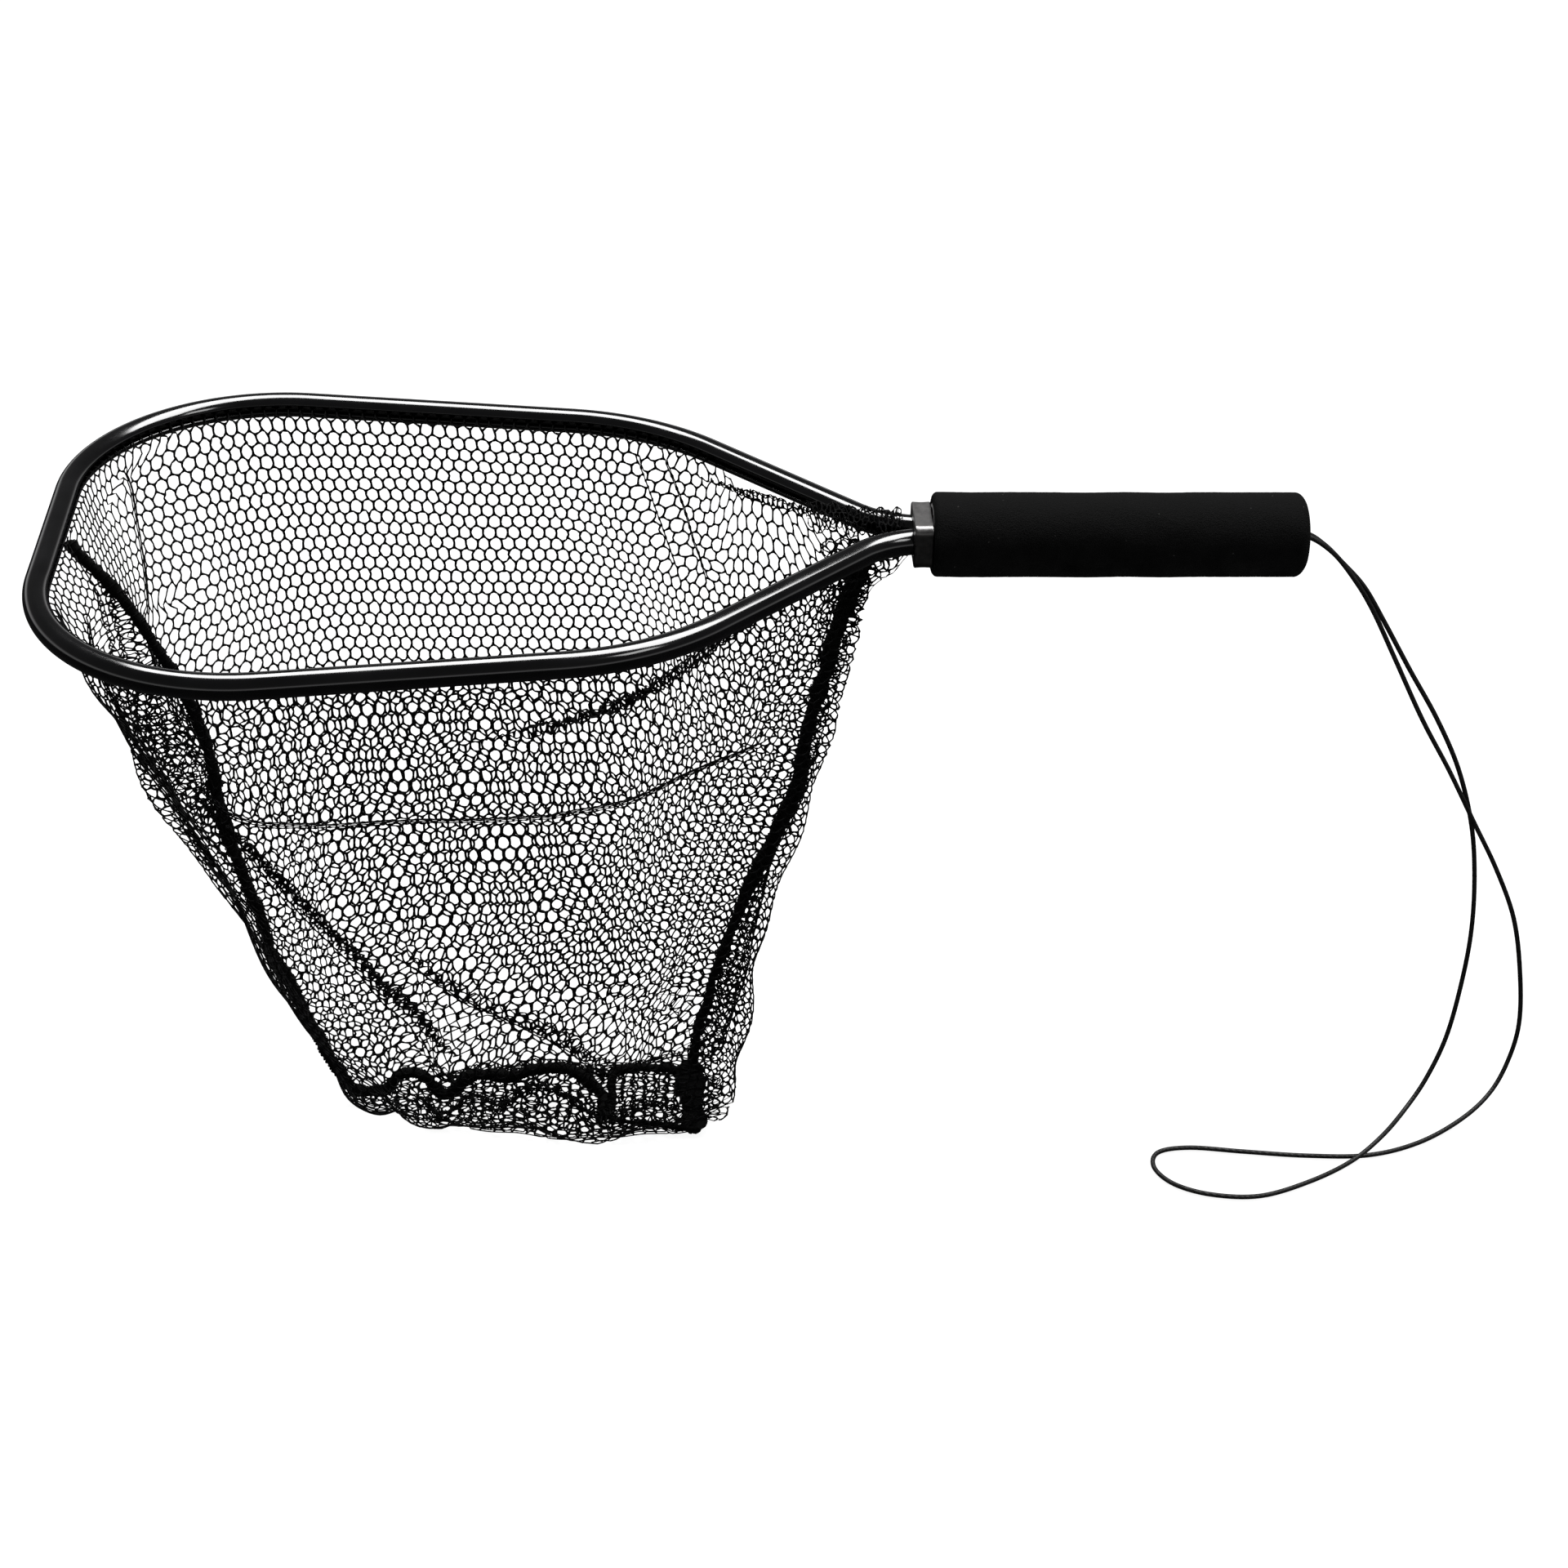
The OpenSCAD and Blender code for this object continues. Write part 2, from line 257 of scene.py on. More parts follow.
def pin_steel():
    """Turned pins: rings round Z."""
    n = Nodes("pin_steel")
    turned = n.noise(2.0, 3, 0.6, n.stretched((0.5, 0.5, 8.0)))
    return n.surface(
        Base_Color=n.tones(turned, (0.3, grey(0.4)), (0.7, grey(0.55))),
        Roughness=n.ramp(turned, 0.3, 0.7, 0.2, 0.35),
        Normal=n.bump(turned, 0.01, 0.5),
        Metallic=1.0,
    )


def eva_foam():
    """Ground EVA foam: a matte skin of tiny open cells, faint clouds, and a few pale specks."""
    n = Nodes("eva_foam")
    clouds = n.noise(0.09, 6, 0.65)
    pores = n.cells(2.2)
    specks = n.cells(0.16)
    tone = n.tones(clouds, (0.3, grey(0.0008)), (0.72, grey(0.0024)))
    mix = n.add("ShaderNodeMix", data_type="RGBA")
    n.put(mix.inputs[0], n.ramp(specks, 0.0, 0.06, 0.5, 0.0))
    n.put(mix.inputs[6], tone)
    n.put(mix.inputs[7], (0.05, 0.049, 0.047, 1))
    return n.surface(
        Base_Color=mix.outputs[2],
        Roughness=n.ramp(clouds, 0.3, 0.7, 0.8, 0.95),
        Normal=n.bump(pores, 0.35, 0.55, under=n.bump(n.noise(0.6, 5, 0.7), 0.5, 0.5)),
        Specular_IOR_Level=0.04,
    )


def elastic_cord():
    """Black braided sleeve over rubber: short slanted ribs that catch a little light."""
    n = Nodes("elastic_cord")
    braid = n.diagonal_wave(260, 3)
    return n.surface(
        Base_Color=n.tones(n.noise(0.12, 4), (0.3, grey(0.002)), (0.7, grey(0.004))),
        Roughness=n.ramp(n.noise(0.8, 3), 0.3, 0.7, 0.45, 0.6),
        Normal=n.bump(braid, 0.15, 0.5),
        Specular_IOR_Level=0.2,
    )


def hem_rope():
    """Laid rope inside the slot: broad slanted ribs."""
    n = Nodes("hem_rope")
    lay = n.diagonal_wave(120, 2)
    return n.surface(
        Base_Color=n.tones(n.noise(0.5, 4), (0.3, grey(0.006)), (0.7, grey(0.014))),
        Roughness=n.ramp(n.noise(1.0), 0.3, 0.7, 0.7, 0.85),
        Normal=n.bump(lay, 0.3, 0.7),
    )


MATERIALS = {
    made.__name__: made()
    for made in (
        anodised_tube,
        netting,
        seam_binding,
        collar_metal,
        bare_aluminium,
        moulded_plastic,
        pin_steel,
        eva_foam,
        elastic_cord,
        hem_rope,
    )
}
HIDDEN_NODES = {
    "bolt_rope": "hem_rope",
    "handle_tube": "bare_aluminium",
    "tail_spacer": "moulded_plastic",
    "tail_pins": "pin_steel",
    "butt_plug": "moulded_plastic",
    "lanyard_knot": "elastic_cord",
}


def finish_cad_nodes():
    """The nodes inside the tube and the handle keep their CAD shape and get their material."""
    for node, slot in HIDDEN_NODES.items():
        for place in bpy.data.objects[node].material_slots:
            place.material = MATERIALS[slot]


# ---- Shapes ----


def unit(v):
    v = np.asarray(v, float)
    return v / np.maximum(np.linalg.norm(v, axis=-1, keepdims=True), 1e-9)


def smooth_path(points, n):
    """Catmull-Rom through the points, n steps a span, as smooth() in the CAD source."""
    p = np.asarray(points, float)
    q = np.vstack([p[:1], p, p[-1:]])
    t = (np.arange(n) / n)[:, None]
    spans = [
        0.5 * (2 * b + (c - a) * t + (2 * a - 5 * b + 4 * c - d) * t**2 + (3 * b - a - 3 * c + d) * t**3)
        for a, b, c, d in zip(q, q[1:], q[2:], q[3:])
    ]
    return np.vstack(spans + [p[-1:]])


def running(path):
    """Running length along a path."""
    return np.r_[0, np.cumsum(np.linalg.norm(np.diff(path, axis=0), axis=1))]


def even_path(path, step):
    """The path again, with points an even step apart."""
    s = running(path)
    at = np.linspace(0, s[-1], max(2, round(s[-1] / step) + 1))
    return np.stack([np.interp(at, s, path[:, k]) for k in range(path.shape[1])], -1)


def carried_frames(path, side):
    """Two directions across the path at each point, carried along it without twist."""
    along = unit(np.gradient(path, axis=0))
    sides = np.empty_like(path)
    side = np.asarray(side, float)
    for i, t in enumerate(along):
        side = unit(side - t * (side @ t))
        sides[i] = side
    return sides, np.cross(along, sides)


def loft(rings, ring_closed=False):
    """Vertices and faces of a skin over rings of points, each ring closed round.

    The two ends are capped, or with ring_closed the last ring joins the first.
    """
    rings = np.asarray(rings, float)
    n, m = rings.shape[:2]
    i = np.arange(n if ring_closed else n - 1)[:, None]
    k = np.arange(m)[None]
    nxt, turn = (i + 1) % n, (k + 1) % m
    faces = np.stack([i * m + k, i * m + turn, nxt * m + turn, nxt * m + k], -1).reshape(-1, 4).tolist()
    if not ring_closed:
        faces += [list(range(m))[::-1], list(range((n - 1) * m, n * m))]
    return rings.reshape(-1, 3), faces


def joined(*parts):
    """Several (vertices, faces) as one."""
    verts, faces, start = [], [], 0
    for v, f in parts:
        verts.append(v)
        faces += [[start + k for k in face] for face in f]
        start += len(v)
    return np.vstack(verts), faces


def piece(name, shape, slot, *nodes, outward=True):
    """Makes an object from (vertices in mm, faces) that rides on the root and replaces the nodes."""
    verts, faces = shape
    mesh = bpy.data.meshes.new(name)
    mesh.from_pydata((np.asarray(verts) * MM).tolist(), [], faces)
    if outward:
        bm = bmesh.new()
        bm.from_mesh(mesh)
        bmesh.ops.recalc_face_normals(bm, faces=bm.faces)
        bm.to_mesh(mesh)
        bm.free()
    mesh.materials.append(MATERIALS[slot])
    mesh.shade_smooth()
    obj = bpy.data.objects.new(name, mesh)
    scene.collection.objects.link(obj)
    return adopt(obj, slot, *nodes)


def adopt(obj, slot, *nodes):
    """Hangs an object on the root body and hides the nodes it replaces. slot is not used."""
    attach(obj, "root")
    if nodes:
        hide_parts(*nodes)
    return obj


# ---- Lanyard ----

CORD_D = 2.0
STRAND_Y = 1.2
FLOOR_Z = -274
PLUG_X = 50
CORD_ROUTE = [
    (PLUG_X - 1, STRAND_Y, 0), (62, STRAND_Y, 0), (73, STRAND_Y, 0), (81, 1.4, -5),
    (89, 1.6, -13), (99, 1.8, -24), (109, 2, -40), (122, 2, -62), (136, 2, -85),
    (148, 2, -109), (157, 2, -136), (162, 2, -163), (164, 1, -190), (163, 0, -217),
    (160, -1, -243), (153, -5, -262), (143, -14, -272), (129, -33, -271.5),
    (114, -46, FLOOR_Z), (94, -59, FLOOR_Z), (72, -68, FLOOR_Z), (52, -67, FLOOR_Z),
    (37, -60, FLOOR_Z), (30, -49, FLOOR_Z), (33, -39, FLOOR_Z), (47, -36, FLOOR_Z),
    (70, -39, FLOOR_Z), (96, -42, FLOOR_Z), (122, -42, FLOOR_Z), (145, -34, FLOOR_Z),
    (166, -20, -273), (181, -7, -269), (189, 0, -257), (191, 0, -236), (187, -1, -208),
    (180, -2, -180), (169, -2, -155), (156, -2, -131), (143, -2, -107), (129, -2, -83),
    (115, -2, -56), (103, -1.8, -33), (94, -1.6, -19), (84, -1.4, -7), (73, -STRAND_Y, 0),
    (62, -STRAND_Y, 0), (PLUG_X - 1, -STRAND_Y, 0),
]  # fmt: skip


def make_lanyard():
    """The elastic cord, from the plug round its loop and back to the plug."""
    route = smooth_path(CORD_ROUTE, 8)
    curve = bpy.data.curves.new("lanyard", "CURVE")
    curve.dimensions = "3D"
    curve.bevel_depth = CORD_D / 2 * MM
    curve.bevel_resolution = 4
    curve.use_fill_caps = True
    line = curve.splines.new("POLY")
    line.points.add(len(route) - 1)
    for point, at in zip(line.points, route * MM):
        point.co = (*at, 1)
    line.use_smooth = True
    curve.materials.append(MATERIALS["elastic_cord"])
    cord = bpy.data.objects.new("lanyard", curve)
    scene.collection.objects.link(cord)
    adopt(cord, "elastic_cord", "lanyard_cord")


make_lanyard()


# ---- Hoop ----

TUBE_R, TUBE_WALL, SLOT_W = 5.0, 1.2, 2.4
TIP_W, SHOULDER_W = 250, 190
SHOULDER_L, HOOP_L = 228, 318
COLLAR_X0, COLLAR_X1 = (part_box("neck_collar")[k][0] / MM for k in (0, 1))
GRIP_X0, GRIP_X1 = (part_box("foam_grip")[k][0] / MM for k in (0, 1))
TIP_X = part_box("hoop_tube")[0][0] / MM + TUBE_R
TAIL_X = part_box("hoop_tube")[1][0] / MM
NECK_Y = TUBE_R + 0.6
HOOP_CORNERS = [
    (TIP_X, 0),
    (TIP_X, TIP_W / 2),
    (TIP_X + SHOULDER_L, SHOULDER_W / 2),
    (TIP_X + HOOP_L, NECK_Y),
    (TAIL_X, NECK_Y),
]
HOOP_RADII = [0, 78, 98, 36, 0]


def rounded_path(corners, radii, step):
    """Straight runs with a true arc at each corner, as points about a step apart."""
    corners = np.asarray(corners, float)
    out = [corners[:1]]
    for i in range(1, len(corners) - 1):
        into, away = unit(corners[i] - corners[i - 1]), unit(corners[i + 1] - corners[i])
        turn = math.atan2(into[0] * away[1] - into[1] * away[0], into @ away)
        cut = radii[i] * math.tan(abs(turn) / 2)
        begin = corners[i] - into * cut
        left = np.array([-into[1], into[0]]) * math.copysign(1, turn)
        centre = begin + left * radii[i]
        a = np.linspace(0, turn, max(4, round(abs(turn) * radii[i] / step)))[:, None]
        arm = begin - centre
        out.append(centre + arm * np.cos(a) + np.array([-arm[1], arm[0]]) * np.sin(a))
    return np.vstack(out + [corners[-1:]])


def arc(cx, cy, r, a0, a1, n):
    """n points of a circle's arc between two angles in degrees."""
    a = np.radians(np.linspace(a0, a1, n))
    return np.stack([cx + r * np.cos(a), cy + r * np.sin(a)], -1)


def tube_section():
    """The open ring of the slotted tube, its two lips rounded; +x is the outside of the hoop."""
    lip_r, mid_r = TUBE_WALL / 2, TUBE_R - TUBE_WALL / 2
    lip = math.degrees(math.asin((SLOT_W / 2 + lip_r) / mid_r))
    lip_x, lip_y = -mid_r * math.cos(math.radians(lip)), mid_r * math.sin(math.radians(lip))
    return np.vstack(
        [
            arc(0, 0, TUBE_R, lip - 180, 180 - lip, 56),
            arc(lip_x, lip_y, lip_r, 180 - lip, 360 - lip, 9)[1:-1],
            arc(0, 0, TUBE_R - TUBE_WALL, 180 - lip, lip - 180, 40),
            arc(lip_x, -lip_y, lip_r, lip, lip + 180, 9)[1:-1],
        ]
    )


def make_hoop():
    """The bent tube: half its path is mirrored, and the section turns its slot to the inside."""
    half = even_path(rounded_path(HOOP_CORNERS, HOOP_RADII, 1.0), 2.5)
    path = np.vstack([half[:0:-1] * (1, -1), half])
    along = unit(np.gradient(path, axis=0))
    side = np.stack([-along[:, 1], along[:, 0]], -1)
    section = tube_section()
    flat = path[:, None] + side[:, None] * section[None, :, :1]
    rings = np.concatenate([flat, np.broadcast_to(section[None, :, 1:], (*flat.shape[:2], 1))], -1)
    piece("hoop", loft(rings), "anodised_tube", "hoop_tube")


make_hoop()


# ---- Collar and grip ----


def rounded_box(w, h, r, n):
    """n points evenly round a rounded rectangle, starting on the +x side."""
    corners = [
        arc(sx * (w / 2 - r), sy * (h / 2 - r), r, a, a + 90, 24)
        for sx, sy, a in ((1, 1, 0), (-1, 1, 90), (-1, -1, 180), (1, -1, 270))
    ]
    path = np.vstack([[(w / 2, 0)], *corners, [(w / 2, 0)]])
    return even_path(path, running(path)[-1] / n)[:-1]


def make_collar():
    """The block round both tubes: its four long edges and both rims are rolled over."""
    w, h, edge, rim = 25.0, 18.0, 3.0, 0.7
    n, walls, flare = 160, 6, 0.3
    # the faces are a little hollow between the rims
    hollowest = 0.12
    window_w, window_h = 2 * (NECK_Y + 0.5) + 2 * TUBE_R + 0.4, 2 * TUBE_R + 0.4
    length = COLLAR_X1 - COLLAR_X0
    rings = []
    for x0, turn in ((COLLAR_X0 + rim, 1), (COLLAR_X1 - rim, -1)):
        stops = np.linspace(90, 0, 7) if turn == 1 else np.linspace(0, 90, 7)
        for a in np.radians(stops):
            inset = rim * (1 - math.cos(a))
            ring = rounded_box(w - 2 * inset, h - 2 * inset, edge - inset, n)
            rings.append((x0 - turn * rim * math.sin(a), ring))
        if turn == 1:
            for k in range(1, walls):
                hollow = hollowest * math.sin(math.pi * k / walls)
                ring = rounded_box(w - 2 * hollow, h - 2 * hollow, edge, n)
                rings.append((x0 + (length - 2 * rim) * k / walls, ring))
    mouth = rounded_box(window_w, window_h, window_h / 2 - 0.01, n)
    mouth_wide = rounded_box(window_w + 2 * flare, window_h + 2 * flare, window_h / 2 - 0.01 + flare, n)
    rings += [
        (COLLAR_X1, mouth_wide),
        (COLLAR_X1 - flare, mouth),
        (COLLAR_X0 + flare, mouth),
        (COLLAR_X0, mouth_wide),
    ]
    solid = [np.column_stack([np.full(n, x), ring]) for x, ring in rings]
    piece("collar", loft(solid, ring_closed=True), "collar_metal", "neck_collar")


make_collar()

GRIP_R = 32.75 / 2
CORE_R = 12.0


def make_grip():
    """A turned foam sleeve: soft edges, a closed butt with the cord's hole, and an uneven skin."""
    hole_r, end = 2.5, 8.0
    front_r, butt_a, butt_b = 2.2, 4.3, 6.0
    pitted, turns = 0.025, 128
    front = arc(GRIP_X0 + front_r, GRIP_R - front_r, front_r, 180, 90, 9)
    wall_x = np.linspace(GRIP_X0 + front_r, GRIP_X1 - butt_a, 90)[1:-1]
    wall = np.column_stack([wall_x, np.full(len(wall_x), GRIP_R)])
    a = np.radians(np.linspace(90, 0, 14))
    butt = np.column_stack([GRIP_X1 - butt_a + butt_a * np.cos(a), GRIP_R - butt_b + butt_b * np.sin(a)])
    face = np.column_stack([np.full(5, GRIP_X1), np.linspace(GRIP_R - butt_b, hole_r + 1.0, 6)[1:]])
    hole = np.vstack([arc(GRIP_X1 - 1, hole_r + 1, 1, 0, -90, 6)[1:], [(GRIP_X1 - end, hole_r)]])
    inside = np.array([(GRIP_X1 - end, CORE_R), (GRIP_X0, CORE_R)])
    profile = np.vstack([front, wall, butt, face, hole, inside])
    angle = np.arange(turns) * 2 * math.pi / turns
    rings = []
    for x, r in profile:
        radius = np.full(turns, r)
        if r > CORE_R + 1:
            broad = 0.10 * np.sin(3 * angle + x / 9) * math.sin(x / 14)
            narrow = 0.07 * np.sin(7 * angle - x / 5 + 1) * math.cos(x / 23)
            radius = r + (broad + narrow + rng.normal(0, pitted, turns))
        rings.append(np.column_stack([np.full(turns, x), radius * np.cos(angle), radius * np.sin(angle)]))
    grip = piece("grip", loft(rings, ring_closed=True), "eva_foam", "foam_grip")


make_grip()


# ---- Bag: the sheet that each panel follows ----

# The seam in the plane Y = 0, as (X, Z): down from the tip, along the floor and up to the neck.
TIP_SEAM = [(-403.5, -3), (-379, -38), (-359, -88), (-351, -140), (-334, -206), (-309, -268)]
BOTTOM_SEAM = [
    (-309, -268), (-295, -268), (-288, -259), (-278, -260), (-269, -271), (-257, -261),
    (-243, -262), (-232, -258), (-215, -258), (-201, -267), (-190, -258), (-176, -257), (-165, -262),
]  # fmt: skip
NECK_SEAM = [(-165, -262), (-159, -228), (-144, -174), (-125.5, -125), (-115, -75), (-102, -22), (-97, -7)]
TIP_SHARE, NECK_SHARE = 0.31, 0.66
BINDING_W = 5.0
BAG_DEPTH = 274
RIM_START = BINDING_W / 2 + 2
SHORT_OF_NECK = 15

# Slack of the panel along the hoop: how far its belly leaves the straight line, by axis.
BELLY_X = (
    (0, 0.12, 0.17, 0.22, 0.31, 0.5, 0.66, 0.8, 1),
    (0.5, 0.3, 0.45, 1.05, 1.15, 0.4, -0.1, -0.6, -0.3),
)
BELLY_Y = ((0, 0.2, 0.31, 0.45, 0.66, 0.8, 1), (0.45, 0.45, 0.6, 0.85, 0.9, 0.75, 0.8))
BELLY_Z = ((0, 0.2, 0.31, 0.5, 0.66, 0.8, 1), (0.6, 0.8, 1.0, 1.17, 1.2, 1.05, 0.9))
# The slack mesh puffs out past the stiffer seam: how far, along X.
PUFF = (
    (0, 0.06, 0.13, 0.18, 0.22, 0.36, 0.52, 0.6, 0.66, 0.72, 0.8, 0.9, 1),
    (0, -9, -24, -12, 3, 3, 4, 16, 33, 26, 18, 14, 8),
)
PUFF_FROM = 0.6
# The mesh comes out of the slot level: its first rows and the row it hangs from, by their distance
# inside the tube's middle line.
SLOT_ROWS, HANG_FROM = (2.6, 4.2, 5.4), 6.2
FLOOR_GAP = 0.5

# The tables of a sheet: their columns along the rim, and their rows GRID apart down to DROP.
COLUMNS, GRID, DROP = 221, 2.0, 340
FLAT_COLUMNS, FLAT_STEP = 54, 8.0
RELAX_ROUNDS, RELAX_GAIN, RELAX_KEEP = 1000, 0.9, 0.95


def blurred(a, width):
    """Smooths the rows of an array, leaving its two ends in place."""
    reach = int(3 * width)
    kernel = np.exp(-0.5 * (np.arange(-reach, reach + 1) / width) ** 2)
    kernel /= kernel.sum()
    padded = np.vstack([2 * a[:1] - a[reach:0:-1], a, 2 * a[-1:] - a[-2 : -reach - 2 : -1]])
    return np.stack([np.convolve(padded[:, k], kernel, "valid") for k in range(a.shape[1])], -1)


def seam_curve(share):
    """Points of the seam for shares of the way round the panel's rim."""
    parts = [smooth_path(p, 12) for p in (TIP_SEAM, BOTTOM_SEAM, NECK_SEAM)]
    spans = ((0, TIP_SHARE), (TIP_SHARE, NECK_SHARE), (NECK_SHARE, 1))
    out = np.empty((len(share), 2))
    for path, (a, b) in zip(parts, spans):
        here = (share >= a) & (share <= b)
        s = running(path)
        at = (share[here] - a) / (b - a) * s[-1]
        out[here] = np.stack([np.interp(at, s, path[:, k]) for k in (0, 1)], -1)
    return out


def rested(z):
    """Heights, with whatever would go under the floor eased onto it."""
    soft = 3.0
    return -BAG_DEPTH + FLOOR_GAP + soft * np.logaddexp(0, (z + BAG_DEPTH - FLOOR_GAP) / soft)


class Sheet:
    """A panel's surface. Its own coordinates are s along the rim and q down from the slot."""

    def __init__(self, side):
        half = even_path(rounded_path(HOOP_CORNERS[:4] + [(-40, NECK_Y)], HOOP_RADII, 0.5), 0.5)
        along = running(half)
        self.side = side
        self.share = np.linspace(0, 1, COLUMNS)
        # the mesh stops short of the point past the third bend where the legs have closed
        past_shoulder = half[:, 0] > TIP_X + SHOULDER_L
        end = along[np.argmax((half[:, 1] < NECK_Y + 0.02) & past_shoulder)] - SHORT_OF_NECK
        rim_s = RIM_START + (end - RIM_START) * self.share
        self.length = end - RIM_START

        def rim(inset):
            """The hoop's line moved to the inside, clear of the other panel."""
            p = np.stack([np.interp(rim_s, along, half[:, k]) for k in (0, 1)], -1)
            t = unit(np.gradient(p, axis=0))
            p = p + inset * np.stack([t[:, 1], -t[:, 0]], -1)
            p[:, 1] = np.maximum(p[:, 1], BINDING_W / 2 + 0.3)
            return np.column_stack([p, np.zeros(COLUMNS)])

        seam = blurred(seam_curve(self.share), 1.2)
        kx, ky, kz = (np.interp(self.share, *table) for table in (BELLY_X, BELLY_Y, BELLY_Z))
        edge = rim(HANG_FROM)
        belly_x = edge[:, 0] * (1 - kx) + seam[:, 0] * kx
        belly = blurred(np.column_stack([belly_x, edge[:, 1] * ky, seam[:, 1] * kz]), 6)
        foot = np.column_stack([seam[:, 0], np.full(COLUMNS, 0.9), seam[:, 1]])

        # each column is a parabola from the edge by the belly to the foot
        v = np.linspace(0, 1, 60)[None, :, None]
        hang = (1 - v) ** 2 * edge[:, None] + 2 * v * (1 - v) * belly[:, None] + v**2 * foot[:, None]
        swell = np.clip((v - PUFF_FROM) / (1 - PUFF_FROM), 0, 1)
        puff = blurred(np.interp(self.share, *PUFF)[:, None], 4)
        hang[..., 0] += puff * np.sin(math.pi * swell)[..., 0]
        hang[..., 2] = rested(hang[..., 2])
        rows = np.concatenate([*(rim(inset)[:, None] for inset in SLOT_ROWS), hang], 1)
        rows[..., 1] *= side
        self.tabulate(rows)
        self.lay_flat()

    def tabulate(self, rows):
        """Turns the columns to points a fixed step apart, run on past the seam for a few cells."""
        q = np.arange(0, DROP, GRID)
        self.table = np.empty((COLUMNS, len(q), 3))
        self.drop = np.empty(COLUMNS)
        for i, column in enumerate(rows):
            fine = even_path(column, 0.5)
            # eases the turn out of the slot, where the column is long enough to blur
            if len(fine) > 24:
                fine = np.vstack([fine[:1], blurred(fine, 3)[1:-1], fine[-1:]])
            s = running(fine)
            self.drop[i] = s[-1]
            ahead = unit(fine[-1] - fine[-min(len(fine), 6)])
            fine = np.vstack([fine, fine[-1] + ahead * DROP])
            s = np.r_[s, s[-1] + DROP]
            self.table[i] = np.stack([np.interp(q, s, fine[:, k]) for k in range(3)], -1)
        across = np.gradient(self.table, axis=0)
        down = np.gradient(self.table, axis=1)
        self.normal = unit(np.cross(across, down)) * -self.side

    def look_up(self, table, s, q):
        """Bilinear reading of a table at (s, q), run on in a straight line past its edges."""
        i = s / self.length * (COLUMNS - 1)
        j = q / GRID
        i0 = np.clip(np.floor(i).astype(int), 0, COLUMNS - 2)
        j0 = np.clip(np.floor(j).astype(int), 0, table.shape[1] - 2)
        fi, fj = np.clip(i - i0, -1.5, 2.5)[:, None], np.clip(j - j0, -2, 3)[:, None]
        return (
            table[i0, j0] * (1 - fi) * (1 - fj)
            + table[i0 + 1, j0] * fi * (1 - fj)
            + table[i0, j0 + 1] * (1 - fi) * fj
            + table[i0 + 1, j0 + 1] * fi * fj
        )

    def reach(self, s):
        """How far down the panel goes at s."""
        return np.interp(s / self.length, self.share, self.drop)

    def lay_flat(self):
        """Lays the panel out on a table with the least stretch, its rim kept straight.

        A grid of springs finds its rest. self.flat holds each grid point's place on the table and
        self.real tells which grid points are on the panel.
        """
        rows = int(DROP / FLAT_STEP)
        s = np.repeat(np.linspace(0, self.length, FLAT_COLUMNS), rows)
        q = np.tile(np.arange(rows) * FLAT_STEP, FLAT_COLUMNS)
        shape = (FLAT_COLUMNS, rows)
        solid = self.look_up(self.table, s, q).reshape(*shape, 3)
        self.real = (q < self.reach(s) + 0.99 * FLAT_STEP).reshape(shape)
        flat = np.stack([s, q], -1).reshape(*shape, 2)
        springs = []
        count = np.full((*shape, 1), 1e-9)
        for du, dv in ((1, 0), (0, 1), (1, 1), (1, -1)):
            a = np.s_[: shape[0] - du, max(0, -dv) : rows - max(0, dv)]
            b = np.s_[du:, max(0, dv) : rows - max(0, -dv)]
            both = (self.real[a] & self.real[b])[..., None] * 1.0
            springs.append((a, b, np.linalg.norm(solid[b] - solid[a], axis=-1, keepdims=True), both))
            count[a] += both
            count[b] += both
        speed = np.zeros_like(flat)
        for _ in range(RELAX_ROUNDS):
            push = np.zeros_like(flat)
            for a, b, rest, both in springs:
                gap = flat[b] - flat[a]
                size = np.maximum(np.linalg.norm(gap, axis=-1, keepdims=True), 1e-6)
                pull = both * gap * (1 - rest / size) / 2
                push[a] += pull
                push[b] -= pull
            speed = RELAX_KEEP * speed + RELAX_GAIN * push / count
            speed[:, 0] = 0
            flat += speed
        # past the seam the cloth runs on straight
        for j in range(2, rows):
            beyond = ~self.real[:, j]
            flat[beyond, j] = 2 * flat[beyond, j - 1] - flat[beyond, j - 2]
        self.flat = flat

    def find(self, a, b):
        """The sheet's own (s, q) at the points (a, b) of the flat cloth.

        Newton's steps from the nearest grid point. miss is what is left, in the flat cloth.
        """
        want = np.stack([a, b], -1)
        nodes, last = np.argwhere(self.real), np.array(self.real.shape) - 2
        spots = self.flat[self.real]
        at = np.array([nodes[((spots - w) ** 2).sum(1).argmin()] for w in want], float)
        for _ in range(8):
            i = np.clip(np.floor(at).astype(int), 0, last)
            fu, fv = ((at - i)[:, k : k + 1] for k in (0, 1))
            corners = ((0, 0), (1, 0), (0, 1), (1, 1))
            p, pu, pv, puv = (self.flat[i[:, 0] + x, i[:, 1] + y] for x, y in corners)
            along = (pu - p) * (1 - fv) + (puv - pv) * fv
            down = (pv - p) * (1 - fu) + (puv - pu) * fu
            miss = want - (p + (pu - p) * fu * (1 - fv) + (pv - p) * fv + (puv - pv) * fu * fv)
            area = np.maximum(along[:, 0] * down[:, 1] - along[:, 1] * down[:, 0], 4.0)
            step_u = (miss[:, 0] * down[:, 1] - miss[:, 1] * down[:, 0]) / area
            step_v = (along[:, 0] * miss[:, 1] - along[:, 1] * miss[:, 0]) / area
            at = np.clip(at + np.clip(np.stack([step_u, step_v], -1), -1, 1), -1, last + 2)
        return at[:, 0] / (FLAT_COLUMNS - 1) * self.length, at[:, 1] * FLAT_STEP


